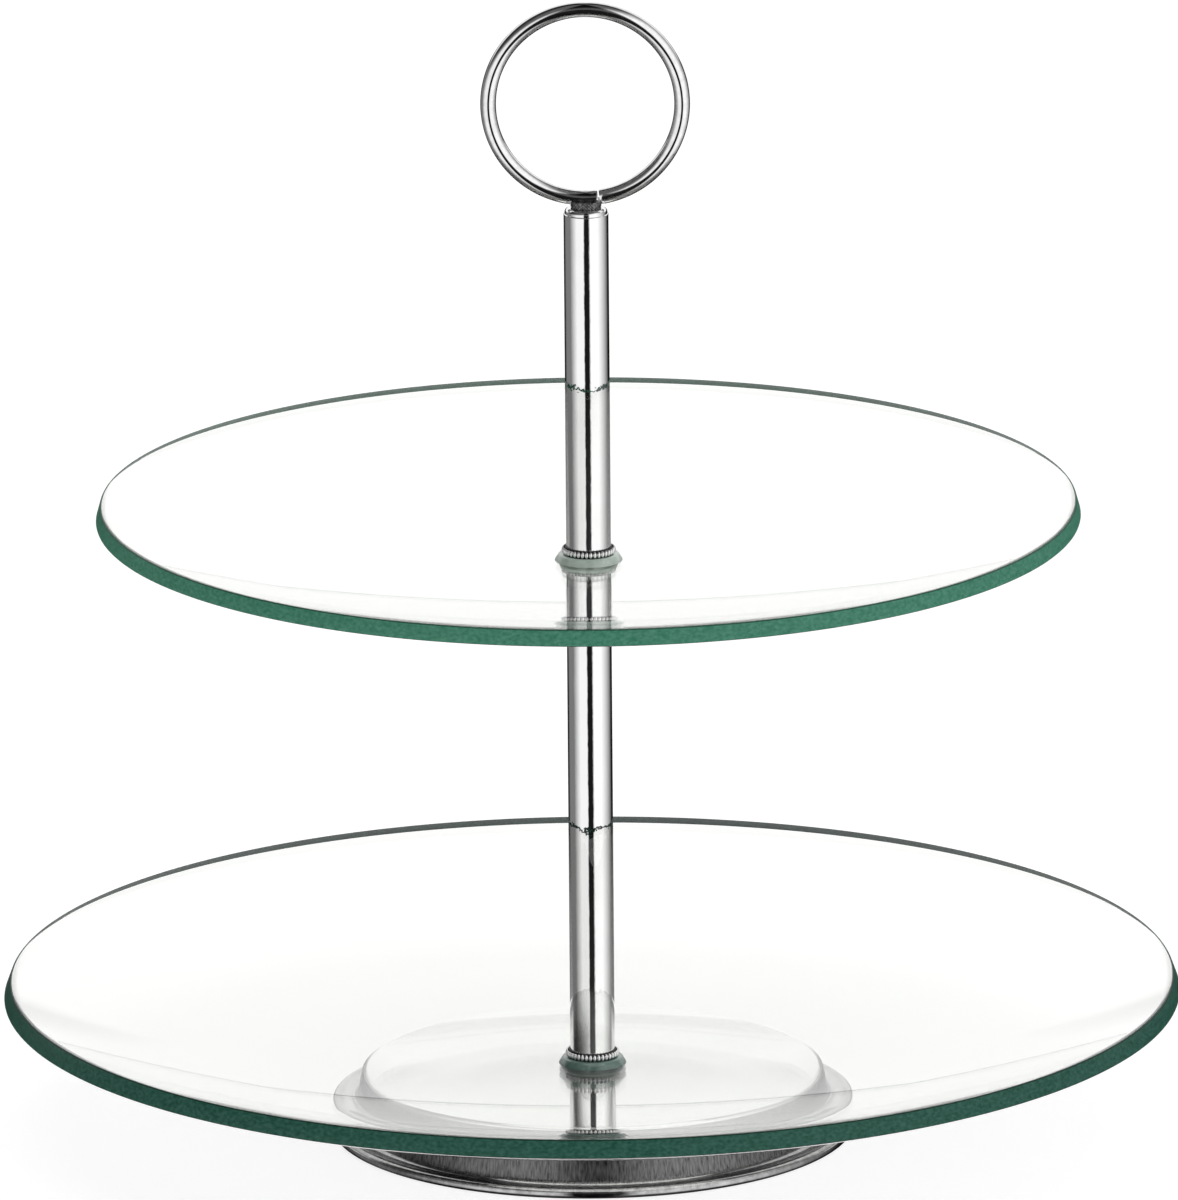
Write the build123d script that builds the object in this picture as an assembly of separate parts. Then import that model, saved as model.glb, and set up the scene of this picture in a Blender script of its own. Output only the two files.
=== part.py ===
from build123d import *
import math
import os

# Two-tier cake stand: two dished glass plates on a screwed column of polished tube, a pressed
# steel foot and a ring handle. Millimetres. Z is up along the column, z = 0 is the table and the
# axis of the column is x = y = 0. The handle ring stands in the XZ plane.

# Plates: float glass, slumped into one mould, so both have the same dish.
LOWER_PLATE_D = 300.0  # over the lower corner of the ground edge, where a plate is widest
UPPER_PLATE_D = 250.0
LOWER_GLASS = 4.8  # glass thickness, square to the dished face
UPPER_GLASS = 4.3
DISH_CENTRE_R = 515.0  # radius of the mould's face round the centre
DISH_OUTER_R = 330.0  # tighter radius further out
DISH_CHANGE_R = 97.0  # distance from the axis at which the two meet, tangent
EDGE_ARRIS = 0.4  # round on both corners of the ground edge
PLATE_HOLE_D = 10.2
HOLE_ARRIS = 0.3

# Thread: M6 everywhere, drawn plain, at a running fit.
SCREW_D = 6.0
SCREW_FIT = 0.05  # radial clearance of a screw in its thread
SCREW_CLEAR = 0.2  # radial clearance of a screw in a plain hole
SCREW_END_CHAMFER = 0.7
SCREW_GRIP = 9.0  # thread engaged at each screwed joint

# Foot: one pressing of steel sheet with a flange that ends in a rolled rim.
FOOT_HEIGHT = 11.3
FOOT_SHEET = 0.6
FOOT_TOP_R = 59.5  # wall, at the top
FOOT_BASE_R = 60.5  # wall, at the flange
FOOT_SHOULDER = 1.5
FOOT_FILLET = 2.0
FLANGE_Z = 1.9
ROLL_R = 1.3  # outside of the rolled rim
ROLL_CENTRE_R = 65.8
ROLL_FLAT = 0.05  # how much the rim's underside is worn flat

PAD_D = 17.0  # soft pad between the foot and the glass, hidden under the gasket
PAD_T = 0.5
FOOT_WASHER_D = 18.0
FOOT_WASHER_T = 1.5
SCREW_HEAD_D = 12.0
SCREW_HEAD_H = 3.6
SCREW_HEAD_ROUND = 1.2
SOCKET_ACROSS = 4.0
SOCKET_DEEP = 2.4

# Trim at each plate: a bevelled gasket on the glass and a bead-edged ring round the tube's end.
BEAD_RING_PROUD = 1.2  # how far the beads stand out from the tube
BEAD_RING_H = 1.9
BEAD_COUNT = 38
BEAD_R = 0.55
GASKET_LIP = 0.7  # flat top of the gasket that shows round the beads
GASKET_BEVEL = 1.0  # the gasket's foot stands this much further out than its top
GASKET_T = 1.7
SUPPORT_WASHER_PROUD = 1.3  # how far the washer stands out from the tube
SUPPORT_WASHER_T = 1.2
UNDER_GASKET_LIP = 0.5  # how far the lower gasket stands out from its washer
UNDER_GASKET_T = 1.0
RING_FIT = 0.06  # radial clearance of a bead ring round its tube
SLEEVE_FIT = 0.1  # radial clearance of a sleeve, in the glass and round its screw
SLEEVE_SHORT = 0.4  # a sleeve is this much shorter than its glass, so that it never bears

# Column
TUBE_D = 11.4
TUBE_WALL = 1.0
LOWER_TUBE = 124.6
UPPER_TUBE = 89.1
INSERT = 14.0  # length of the threaded insert in each end of a tube
INSERT_BORE_SPARE = 2.5  # unthreaded depth beyond each screw's end

# Cap and handle
CAP_INSET = 0.25  # the cap is this much smaller than its tube, all round
CAP_H = 1.4
CAP_ROUND = 1.1
NECK_D = 8.4
NECK_FOOT_D = 7.6
NECK_H = 2.0
STUD_SEAT = 0.4  # depth to which the handle's stud is set into the neck
RING_D = 53.0  # outside of the handle ring
RING_WIRE = 4.0
RING_SUNK = 1.5  # depth to which the ring sits in its neck
RING_JOINT = 0.4  # gap where the ring's wire closes on itself
RING_JOINT_AT = 7.7  # degrees from straight down, towards +X


def dish_angle(plate_d, glass):
    """Slope of the dish at the rim, in radians."""
    start = math.asin(DISH_CHANGE_R / DISH_CENTRE_R)
    shift = (DISH_CENTRE_R - DISH_OUTER_R) * math.sin(start)
    return math.asin((plate_d / 2 - shift) / (DISH_OUTER_R + glass))


def dish_rise(r):
    """Height of the dished face over its lowest point, near the centre."""
    return DISH_CENTRE_R - math.sqrt(DISH_CENTRE_R**2 - r**2)


def belly_rise(r, glass):
    """Height of a plate's underside over its own lowest point, near the centre."""
    back = DISH_CENTRE_R + glass
    return back - math.sqrt(back**2 - r**2)


# Diameters that follow from the tube's
bead_ring_d = TUBE_D + 2 * BEAD_RING_PROUD
gasket_top_d = bead_ring_d + 2 * GASKET_LIP
gasket_d = gasket_top_d + 2 * GASKET_BEVEL
support_washer_d = TUBE_D + 2 * SUPPORT_WASHER_PROUD
under_gasket_d = support_washer_d + 2 * UNDER_GASKET_LIP
cap_d = TUBE_D - 2 * CAP_INSET

# Heights up the column, each from the one below it
pad_z = FOOT_HEIGHT
lower_glass_z = pad_z + PAD_T + LOWER_GLASS - belly_rise(PLATE_HOLE_D / 2, LOWER_GLASS)
lower_gasket_z = lower_glass_z + dish_rise(gasket_d / 2)
lower_tube_z = lower_gasket_z + GASKET_T
support_z = lower_tube_z + LOWER_TUBE
under_gasket_z = support_z + SUPPORT_WASHER_T
upper_glass_z = (
    under_gasket_z + UNDER_GASKET_T + UPPER_GLASS - belly_rise(PLATE_HOLE_D / 2, UPPER_GLASS)
)
upper_gasket_z = upper_glass_z + dish_rise(gasket_d / 2)
upper_tube_z = upper_gasket_z + GASKET_T
cap_z = upper_tube_z + UPPER_TUBE
neck_z = cap_z + CAP_H
ring_z = neck_z + NECK_H - RING_SUNK + RING_D / 2

tube_bore = TUBE_D - 2 * TUBE_WALL
screw_hole = SCREW_D + 2 * SCREW_CLEAR
thread_bore = SCREW_D + 2 * SCREW_FIT


def turned(sketch):
    """A solid of revolution about the column, from a section drawn in the XZ plane."""
    return revolve(Plane.XZ * sketch, Axis.Z)


def disc(diameter, hole, low, high):
    """A flat washer or a plain tube."""
    width = (diameter - hole) / 2
    box = Pos((diameter + hole) / 4, (low + high) / 2) * Rectangle(width, high - low)
    return turned(box)


def screw(low, high, free_ends):
    """A plain M6 shank, chamfered at its free ends: 0 is the lower end and -1 the upper one."""
    body = Pos(0, 0, (low + high) / 2) * Cylinder(SCREW_D / 2, high - low)
    rims = body.edges().filter_by(GeomType.CIRCLE).sort_by(Axis.Z)
    return chamfer([rims[end] for end in free_ends], SCREW_END_CHAMFER)


def arc_point(centre, radius, angle):
    return centre[0] + radius * math.sin(angle), centre[1] - radius * math.cos(angle)


def plate(plate_d, glass, top_z):
    """A dished plate: two tangent arcs above, the same arcs one thickness out below."""
    start = math.asin(DISH_CHANGE_R / DISH_CENTRE_R)
    rim = dish_angle(plate_d, glass)
    middle = (0, top_z + DISH_CENTRE_R)
    back = DISH_CENTRE_R - DISH_OUTER_R
    outer = (back * math.sin(start), middle[1] - back * math.cos(start))
    hole = PLATE_HOLE_D / 2

    def face_points(extra):
        """Hole, middle of the inner arc, change of radius, middle of the outer arc, rim."""
        near, far = DISH_CENTRE_R + extra, DISH_OUTER_R + extra
        first = math.asin(hole / near)
        return (
            arc_point(middle, near, first),
            arc_point(middle, near, (first + start) / 2),
            arc_point(middle, near, start),
            arc_point(outer, far, (start + rim) / 2),
            arc_point(outer, far, rim),
        )

    top, bottom = face_points(0), face_points(glass)
    outline = [
        ThreePointArc(*top[:3]),
        ThreePointArc(*top[2:]),
        Line(top[4], bottom[4]),
        ThreePointArc(*bottom[:1:-1]),
        ThreePointArc(*bottom[2::-1]),
        Line(bottom[0], top[0]),
    ]
    solid = turned(make_face(outline))
    rim_z = (top[4][1], bottom[4][1])
    circles = solid.edges().filter_by(GeomType.CIRCLE)
    rims = [e for e in circles if any(abs(e.center().Z - z) < EDGE_ARRIS / 4 for z in rim_z)
            and e.radius > plate_d / 4]
    solid = fillet(rims, EDGE_ARRIS)
    holes = solid.edges().filter_by(lambda e: e.geom_type == GeomType.CIRCLE
                                    and e.radius < PLATE_HOLE_D / 2 + EDGE_ARRIS)
    return chamfer(holes, HOLE_ARRIS)


def sleeve(glass, top_z):
    """The bush that keeps the screw off the glass."""
    low = top_z - glass + belly_rise(PLATE_HOLE_D / 2, glass) + SLEEVE_SHORT / 2
    high = top_z + dish_rise(PLATE_HOLE_D / 2) - SLEEVE_SHORT / 2
    return disc(PLATE_HOLE_D - 2 * SLEEVE_FIT, SCREW_D + 2 * SLEEVE_FIT, low, high)


def gasket(low):
    """A washer with a bevelled rim, widest on the glass."""
    half, top, hole = gasket_d / 2, gasket_top_d / 2, screw_hole / 2
    section = Polyline((hole, low), (half, low), (top, low + GASKET_T), (hole, low + GASKET_T),
                       close=True)
    return turned(make_face(section))


def bead_ring(low):
    """A trim ring round the foot of a tube, with a row of half-sunk beads round its rim."""
    body = disc(bead_ring_d - 2 * BEAD_R, TUBE_D + 2 * RING_FIT, low, low + BEAD_RING_H)
    bead = Pos(0, 0, low + BEAD_RING_H / 2) * Sphere(BEAD_R)
    beads = PolarLocations(bead_ring_d / 2 - BEAD_R, BEAD_COUNT) * bead
    return body + beads


def tube(low, length):
    return disc(TUBE_D, tube_bore, low, low + length)


def insert(end_z, inward):
    """A threaded plug pressed into a tube's end; inward is 1 where the tube goes up from it."""
    low, high = sorted((end_z, end_z + inward * INSERT))
    body = Pos(0, 0, (low + high) / 2) * Cylinder(tube_bore / 2, INSERT)
    deep = SCREW_GRIP + INSERT_BORE_SPARE
    bore = Pos(0, 0, end_z + inward * deep / 2) * Cylinder(thread_bore / 2, deep)
    return body - bore


def foot():
    """Cup, flange and rolled rim, drawn as one section of sheet."""
    bottom = -FOOT_SHEET  # the space under the skin is drawn past the table

    def under(inset):
        """The region below the sheet's upper face, or below its lower face."""
        top = FOOT_HEIGHT - inset
        wall_top, wall_base = FOOT_TOP_R - inset, FOOT_BASE_R - inset
        shoulder, hollow = FOOT_SHOULDER - inset, FOOT_FILLET + inset
        flange = FLANGE_Z - inset
        edge = [
            Line((0, bottom), (0, top)),
            Line((0, top), (wall_top - shoulder, top)),
            RadiusArc((wall_top - shoulder, top), (wall_top, top - shoulder), shoulder),
            Line((wall_top, top - shoulder), (wall_base, flange + hollow)),
            RadiusArc((wall_base, flange + hollow), (wall_base + hollow, flange), -hollow),
            Line((wall_base + hollow, flange), (ROLL_CENTRE_R, flange)),
            Line((ROLL_CENTRE_R, flange), (ROLL_CENTRE_R, bottom)),
            Line((ROLL_CENTRE_R, bottom), (0, bottom)),
        ]
        return make_face(edge)

    roll_at = Pos(ROLL_CENTRE_R, ROLL_R - ROLL_FLAT)
    table = Pos(ROLL_CENTRE_R / 2, -ROLL_R) * Rectangle(2 * ROLL_CENTRE_R, 2 * ROLL_R)
    skin = under(0) - under(FOOT_SHEET) + roll_at * Circle(ROLL_R)
    skin -= roll_at * Circle(ROLL_R - FOOT_SHEET)
    skin -= table
    skin -= Pos(0, FOOT_HEIGHT) * Rectangle(screw_hole, 4 * FOOT_SHEET)
    return turned(skin)


def foot_screw():
    """A pan-head socket screw, up through the foot and the lower plate."""
    head_top = FOOT_HEIGHT - FOOT_SHEET - FOOT_WASHER_T
    head = Pos(0, 0, head_top - SCREW_HEAD_H / 2) * Cylinder(SCREW_HEAD_D / 2, SCREW_HEAD_H)
    head = fillet(head.edges().sort_by(Axis.Z)[0], SCREW_HEAD_ROUND)
    across_corners = SOCKET_ACROSS / math.cos(math.pi / 6)
    socket = extrude(RegularPolygon(across_corners / 2, 6), SOCKET_DEEP)
    head -= Pos(0, 0, head_top - SCREW_HEAD_H) * socket
    return head + screw(head_top, lower_tube_z + SCREW_GRIP, [-1])


def tube_cap():
    """The domed washer that closes the upper tube under the handle."""
    cap = disc(cap_d, screw_hole, cap_z, neck_z)
    rim = [e for e in cap.edges().filter_by(GeomType.CIRCLE)
           if e.radius > (screw_hole + cap_d) / 4 and e.center().Z > neck_z - CAP_H / 4]
    return fillet(rim, CAP_ROUND)


def handle_ring():
    """Round wire bent to a ring in the XZ plane, with a gap where its ends meet."""
    middle = (RING_D - RING_WIRE) / 2
    gap = math.degrees(RING_JOINT / middle)
    wire = Plane.XZ * Pos(middle, 0) * Circle(RING_WIRE / 2)
    # bent lying flat, with the middle of the gap on +X, then stood up and turned
    flat = revolve(wire, Axis.Z, 360 - gap).rotate(Axis.Z, gap / 2)
    return Pos(0, 0, ring_z) * flat.rotate(Axis.X, 90).rotate(Axis.Y, 90 - RING_JOINT_AT)


def handle_neck():
    """A cone under the ring, saddled to the wire, that the handle is turned by."""
    top = neck_z + NECK_H
    section = Polyline((0, neck_z), (NECK_FOOT_D / 2, neck_z), (NECK_D / 2, top), (0, top),
                       close=True)
    middle = (RING_D - RING_WIRE) / 2
    whole_ring = Pos(0, 0, ring_z) * Torus(middle, RING_WIRE / 2).rotate(Axis.X, 90)
    stud_seat = Pos(0, 0, neck_z) * Cylinder(SCREW_D / 2, 2 * STUD_SEAT)
    return turned(make_face(section)) - whole_ring - stud_seat


nodes = {
    "foot": foot(),
    "foot_pad": disc(PAD_D, screw_hole, pad_z, pad_z + PAD_T),
    "foot_washer": disc(FOOT_WASHER_D, screw_hole, FOOT_HEIGHT - FOOT_SHEET - FOOT_WASHER_T,
                        FOOT_HEIGHT - FOOT_SHEET),
    "foot_screw": foot_screw(),
    "lower_plate": plate(LOWER_PLATE_D, LOWER_GLASS, lower_glass_z),
    "lower_plate_sleeve": sleeve(LOWER_GLASS, lower_glass_z),
    "lower_gasket": gasket(lower_gasket_z),
    "lower_bead_ring": bead_ring(lower_tube_z),
    "lower_tube": tube(lower_tube_z, LOWER_TUBE),
    "lower_tube_bottom_insert": insert(lower_tube_z, 1),
    "lower_tube_top_insert": insert(support_z, -1),
    "support_washer": disc(support_washer_d, screw_hole, support_z, under_gasket_z),
    "joining_stud": screw(support_z - SCREW_GRIP, upper_tube_z + SCREW_GRIP, [0, -1]),
    "upper_under_gasket": disc(under_gasket_d, screw_hole, under_gasket_z,
                               under_gasket_z + UNDER_GASKET_T),
    "upper_plate": plate(UPPER_PLATE_D, UPPER_GLASS, upper_glass_z),
    "upper_plate_sleeve": sleeve(UPPER_GLASS, upper_glass_z),
    "upper_gasket": gasket(upper_gasket_z),
    "upper_bead_ring": bead_ring(upper_tube_z),
    "upper_tube": tube(upper_tube_z, UPPER_TUBE),
    "upper_tube_bottom_insert": insert(upper_tube_z, 1),
    "upper_tube_top_insert": insert(cap_z, -1),
    "tube_cap": tube_cap(),
    "handle_stud": screw(cap_z - SCREW_GRIP, neck_z + STUD_SEAT, [0]),
    "handle_neck": handle_neck(),
    "handle_ring": handle_ring(),
}

os.makedirs("parts", exist_ok=True)
for name, solid in nodes.items():
    export_step(solid, f"parts/{name}.step")
print(f"height {ring_z + RING_D / 2:.2f}, lower glass {lower_glass_z:.2f}, "
      f"upper glass {upper_glass_z:.2f}, ring centre {ring_z:.2f}")
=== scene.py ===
import math

import bpy
import bmesh
from mathutils import Matrix, Vector


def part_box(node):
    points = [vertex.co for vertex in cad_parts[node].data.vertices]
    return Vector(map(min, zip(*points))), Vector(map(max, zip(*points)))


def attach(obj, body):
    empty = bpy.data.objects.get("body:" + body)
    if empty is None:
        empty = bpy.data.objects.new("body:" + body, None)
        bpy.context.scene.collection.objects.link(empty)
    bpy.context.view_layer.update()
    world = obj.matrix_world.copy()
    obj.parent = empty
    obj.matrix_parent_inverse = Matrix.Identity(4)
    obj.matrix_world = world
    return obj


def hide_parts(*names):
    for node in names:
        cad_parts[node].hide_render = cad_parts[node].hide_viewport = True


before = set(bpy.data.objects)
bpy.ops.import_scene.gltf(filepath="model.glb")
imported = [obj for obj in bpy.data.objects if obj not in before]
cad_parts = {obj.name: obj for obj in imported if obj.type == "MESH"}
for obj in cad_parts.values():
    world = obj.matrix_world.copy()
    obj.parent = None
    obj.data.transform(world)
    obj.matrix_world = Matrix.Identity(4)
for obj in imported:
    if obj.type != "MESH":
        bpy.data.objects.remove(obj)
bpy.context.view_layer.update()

# Two-tier glass cake stand. Metres, z up the column, the handle ring stands in the XZ plane.
mm = 0.001
tau = math.tau
print("frame loaded:", len(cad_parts), "nodes")


# small helpers for node trees and meshes
def add(tree, kind, feeds=None, **settings):
    node = tree.nodes.new(kind)
    for key, value in settings.items():
        setattr(node, key, value)
    for socket, value in (feeds or {}).items():
        if isinstance(value, bpy.types.NodeSocket):
            tree.links.new(value, node.inputs[socket])
        else:
            node.inputs[socket].default_value = value
    return node


def calc(tree, operation, first, second=0.0, third=0.0):
    kind = "ShaderNodeMath"
    return add(tree, kind, {0: first, 1: second, 2: third}, operation=operation).outputs[0]


def newTree(name, inputs):
    tree = bpy.data.node_groups.new(name, "GeometryNodeTree")
    tree.interface.new_socket("Geometry", in_out="OUTPUT", socket_type="NodeSocketGeometry")
    for label, kind in inputs:
        tree.interface.new_socket(label, in_out="INPUT", socket_type="NodeSocket" + kind)
    return tree, tree.nodes.new("NodeGroupInput").outputs


def joined(tree, *geometries):
    join = add(tree, "GeometryNodeJoinGeometry")
    for geometry in geometries:
        tree.links.new(geometry, join.inputs[0])
    return join.outputs[0]


def close(tree, geometry, material, second=None, where=None):
    # every tree ends the same way: real geometry, smooth, in its finish
    solid = add(tree, "GeometryNodeRealizeInstances", {0: geometry}).outputs[0]
    painted = add(tree, "GeometryNodeSetShadeSmooth", {0: solid}).outputs[0]
    painted = add(tree, "GeometryNodeSetMaterial", {0: painted, "Material": material}).outputs[0]
    if second:
        painted = add(tree, "GeometryNodeSetMaterial",
                      {0: painted, "Selection": where, "Material": second}).outputs[0]
    add(tree, "NodeGroupOutput", {0: painted})


def ringGrid(tree, rows, segments):
    # a sheet of rows x segments that a rule then rolls up; gives the sheet, its row and its angle
    columns = calc(tree, "ADD", segments, 1)
    grid = add(tree, "GeometryNodeMeshGrid", {"Vertices X": rows, "Vertices Y": columns}).outputs[0]
    index = add(tree, "GeometryNodeInputIndex").outputs[0]
    row = calc(tree, "FLOOR", calc(tree, "DIVIDE", calc(tree, "ADD", index, 0.5), columns))
    column = calc(tree, "SUBTRACT", index, calc(tree, "MULTIPLY", row, columns))
    angle = calc(tree, "DIVIDE", calc(tree, "MULTIPLY", column, tau), segments)
    return grid, row, angle


def rolled(tree, grid, radius, angle, height):
    x = calc(tree, "MULTIPLY", radius, calc(tree, "COSINE", angle))
    y = calc(tree, "MULTIPLY", radius, calc(tree, "SINE", angle))
    place = add(tree, "ShaderNodeCombineXYZ", {0: x, 1: y, 2: height}).outputs[0]
    moved = add(tree, "GeometryNodeSetPosition", {"Geometry": grid, "Position": place}).outputs[0]
    return add(tree, "GeometryNodeMergeByDistance", {0: moved, "Distance": 1e-6}).outputs[0]


def profileMesh(name, outline):
    # a point is (radius, height), or (radius, height, 1) where the ring is a hexagon
    mesh = bpy.data.meshes.new(name + "Profile")
    edges = [(i, i + 1) for i in range(len(outline) - 1)]
    mesh.from_pydata([(p[0], p[2] if len(p) > 2 else 0, p[1]) for p in outline], edges, [])
    return mesh


def packSlots(mesh):
    # the seed's empty slot goes, and every face keeps its finish
    slots = list(mesh.materials)
    used = [i for i, material in enumerate(slots) if material]
    faces = [used.index(face.material_index) for face in mesh.polygons]
    mesh.materials.clear()
    for i in used:
        mesh.materials.append(slots[i])
    mesh.polygons.foreach_set("material_index", faces)


def made(name, tree, values, mesh=None, sharp=35):
    # runs a tree on an object, keeps the plain mesh, points its faces outward
    source = mesh or bpy.data.meshes.new(name + "Seed")
    maker = bpy.data.objects.new(name + "Maker", source)
    bpy.context.scene.collection.objects.link(maker)
    modifier = maker.modifiers.new("Make", "NODES")
    modifier.node_group = tree
    for item in tree.interface.items_tree:
        if item.in_out == "INPUT" and item.name in values:
            modifier[item.identifier] = values[item.name]
    graph = bpy.context.evaluated_depsgraph_get()
    result = bpy.data.meshes.new_from_object(maker.evaluated_get(graph))
    maker.modifiers.clear()
    bpy.data.objects.remove(maker)
    result.name = name
    packSlots(result)
    shell = bmesh.new()
    shell.from_mesh(result)
    bmesh.ops.remove_doubles(shell, verts=shell.verts, dist=1e-6)
    bmesh.ops.recalc_face_normals(shell, faces=shell.faces)
    shell.to_mesh(result)
    shell.free()
    result.set_sharp_from_angle(angle=math.radians(sharp))
    piece = bpy.data.objects.new(name, result)
    bpy.context.scene.collection.objects.link(piece)
    return piece


def standIn(piece, body, slot, *nodes):
    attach(piece, body)
    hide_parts(*nodes)


def arc(centre, radius, start, end, steps):
    # points of an arc in the section plane, angles in degrees from +r towards +z
    turn = [math.radians(start + (end - start) * i / steps) for i in range(steps + 1)]
    return [(centre[0] + radius * math.cos(a), centre[1] + radius * math.sin(a)) for a in turn]


def roundedBand(inner, outer, low, high, lip, steps=4):
    # closed section of a washer or tube, its four corners rounded by lip
    corners = (((outer - lip, low + lip), -90), ((outer - lip, high - lip), 0),
               ((inner + lip, high - lip), 90), ((inner + lip, low + lip), 180))
    outline = []
    for centre, start in corners:
        outline += arc(centre, lip, start, start + 90, steps)
    return outline + outline[:1]


# finishes
def finish(name, **values):
    material = bpy.data.materials.new(name)
    material.use_nodes = True
    tree = material.node_tree
    shader = tree.nodes["Principled BSDF"]
    for socket, value in values.items():
        shader.inputs[socket.replace("_", " ")].default_value = value
    return material, tree, shader


def grain(tree, scale, stretch=(1, 1, 1), detail=3.0, rough=0.5):
    # noise on object coordinates, stretched along an axis where the metal was drawn
    coordinate = add(tree, "ShaderNodeTexCoord").outputs["Object"]
    mapping = add(tree, "ShaderNodeMapping", {"Vector": coordinate, "Scale": stretch}).outputs[0]
    feeds = {"Vector": mapping, "Scale": scale, "Detail": detail, "Roughness": rough}
    return add(tree, "ShaderNodeTexNoise", feeds).outputs[0]


def span(tree, value, low, high, start=0.3, end=0.7):
    feeds = {"Value": value, "From Min": start, "From Max": end, "To Min": low, "To Max": high}
    return add(tree, "ShaderNodeMapRange", feeds).outputs[0]


def between(tree, factor, first, second):
    node = add(tree, "ShaderNodeMix", data_type="RGBA")
    tree.links.new(factor, node.inputs[0])
    node.inputs[6].default_value = (*first, 1)
    node.inputs[7].default_value = (*second, 1)
    return node.outputs[2]


def bumped(tree, shader, height, distance, strength=1.0):
    feeds = {"Height": height, "Distance": distance, "Strength": strength}
    tree.links.new(add(tree, "ShaderNodeBump", feeds).outputs[0], shader.inputs["Normal"])


def clouded(name, cloudScale, dark, light, roughness, bump=None, stretch=(1, 1, 1), **fixed):
    # one noise gives the colour and the gloss, a finer one the skin
    material, tree, shader = finish(name, **fixed)
    cloud = grain(tree, cloudScale, stretch)
    tree.links.new(between(tree, span(tree, cloud, 0, 1), dark, light), shader.inputs["Base Color"])
    tree.links.new(span(tree, cloud, *roughness), shader.inputs["Roughness"])
    if bump:
        scale, bumpStretch, depth = bump
        bumped(tree, shader, grain(tree, scale, bumpStretch), depth)
    return material


def gray(level):
    return (level, level, level)


# polished nickel plate: nearly a mirror, with faint waves in it
tubeNickel = clouded("polishedTube", 90.0, (0.90, 0.90, 0.905), (0.95, 0.95, 0.95), (0.012, 0.03),
                     (240.0, (1, 1, 0.6), 5.5e-5), Metallic=1.0)
beadNickel = clouded("polishedBeads", 400.0, gray(0.92), (0.98, 0.98, 0.97), (0.14, 0.24),
                     (900.0, (1, 1, 1), 3e-6), Metallic=1.0)
ringNickel = clouded("polishedRing", 700.0, (0.78, 0.78, 0.79), gray(0.92), (0.03, 0.1),
                     (420.0, (1, 1, 1), 6e-6), Metallic=1.0)
capNickel = clouded("polishedCap", 300.0, gray(0.86), gray(0.94), (0.02, 0.06),
                    (700.0, (1, 1, 1), 5e-6), Metallic=1.0)
# painted shade: the groove inside the bead row is darkened in its colour, standing in for the shade between
# beads and tube
grooveShade = clouded("paintedGrooveShade", 900.0, gray(0.025), gray(0.10), (0.35, 0.6), Metallic=1.0)
darkSteel = clouded("darkKnurledSteel", 1200.0, gray(0.03), gray(0.30), (0.2, 0.45),
                    (2600.0, (1, 1, 1), 1e-5), Metallic=1.0)
braze = clouded("darkBraze", 1500.0, (0.05, 0.048, 0.045), (0.42, 0.42, 0.41), (0.15, 0.4),
                (1700.0, (1, 1, 1), 2e-5), Metallic=1.0)
screwSteel = clouded("zincedScrewSteel", 300.0, (0.42, 0.42, 0.43), (0.58, 0.58, 0.57), (0.2, 0.38),
                     (1400.0, (1, 1, 1), 3e-6), Metallic=1.0)
footTopSteel = clouded("polishedFootTop", 40.0, gray(0.93), gray(0.97), (0.004, 0.012), Metallic=1.0)
# painted shade: the wall is the same sheet as the top, painted near black for the shade under the plate; its
# fine vertical lines are the drawn steel
footWallShaded = clouded("shadedFootWall", 2400.0, gray(0.07), gray(0.26), (0.26, 0.4),
                        (2400.0, (1, 1, 0.02), 1.2e-5), (1, 1, 0.02), Metallic=1.0)
# painted shade: the rim is the same steel again, painted a mid grey
footRimShaded = clouded("shadedFootRim", 500.0, gray(0.36), gray(0.56), (0.06, 0.14),
                       (1100.0, (1, 1, 1), 4e-6), Metallic=1.0)

# clear float glass with a breath of green in it
clearGlass, glassTree, glassShader = finish("clearGlass", IOR=1.52, Transmission_Weight=1.0, Roughness=0.0)
glassTint = between(glassTree, span(glassTree, grain(glassTree, 9.0), 0, 1),
                    (0.975, 0.985, 0.962), (0.985, 0.992, 0.974))
glassTree.links.new(glassTint, glassShader.inputs["Base Color"])


def groundGlass(name, dark, light):
    # the ground rim of float glass: deep green, satin, with fine grinding marks along it
    return clouded(name, 850.0, dark, light, (0.3, 0.5), (1500.0, (1, 1, 4), 2e-5), (1, 1, 1.5),
                   IOR=1.52, Specular_IOR_Level=0.15)


upperEdge = groundGlass("upperGroundEdge", (0.034, 0.180, 0.110), (0.085, 0.275, 0.190))
# painted shade: the lower plate's edge and arris are the same glass as the upper's, painted darker because
# less light reaches them
lowerEdgeShaded = groundGlass("lowerGroundEdgeShaded", (0.011, 0.068, 0.045), (0.040, 0.130, 0.098))
# painted shade: a darker green line along the top arris of each ground edge
upperArrisShade = groundGlass("upperArrisShade", (0.018, 0.085, 0.052), (0.04, 0.12, 0.08))
lowerArrisShade = groundGlass("lowerArrisShade", (0.004, 0.028, 0.018), (0.012, 0.05, 0.034))


def softPlastic(name, dark, light, roughness):
    return clouded(name, 500.0, dark, light, roughness, (2200.0, (1, 1, 1), 8e-6), IOR=1.5,
                   Coat_Weight=0.8, Coat_Roughness=0.06)


# painted light and shade: the gaskets are one plastic; the upper copy is painted light and the lower copy
# dark, for what shows through them from beneath
upperGasketPaintedLight = softPlastic("upperGasketPaintedLight", (0.47, 0.58, 0.51), (0.60, 0.70, 0.63), (0.16, 0.3))
lowerGasketPaintedShade = softPlastic("lowerGasketPaintedShade", (0.13, 0.235, 0.195), (0.20, 0.32, 0.27), (0.16, 0.3))
bushPlastic = softPlastic("nylonBush", (0.62, 0.62, 0.58), (0.72, 0.72, 0.68), (0.4, 0.55))
padPlastic = softPlastic("palePad", (0.50, 0.52, 0.50), (0.62, 0.64, 0.62), (0.3, 0.5))
print("finishes made")


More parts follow.
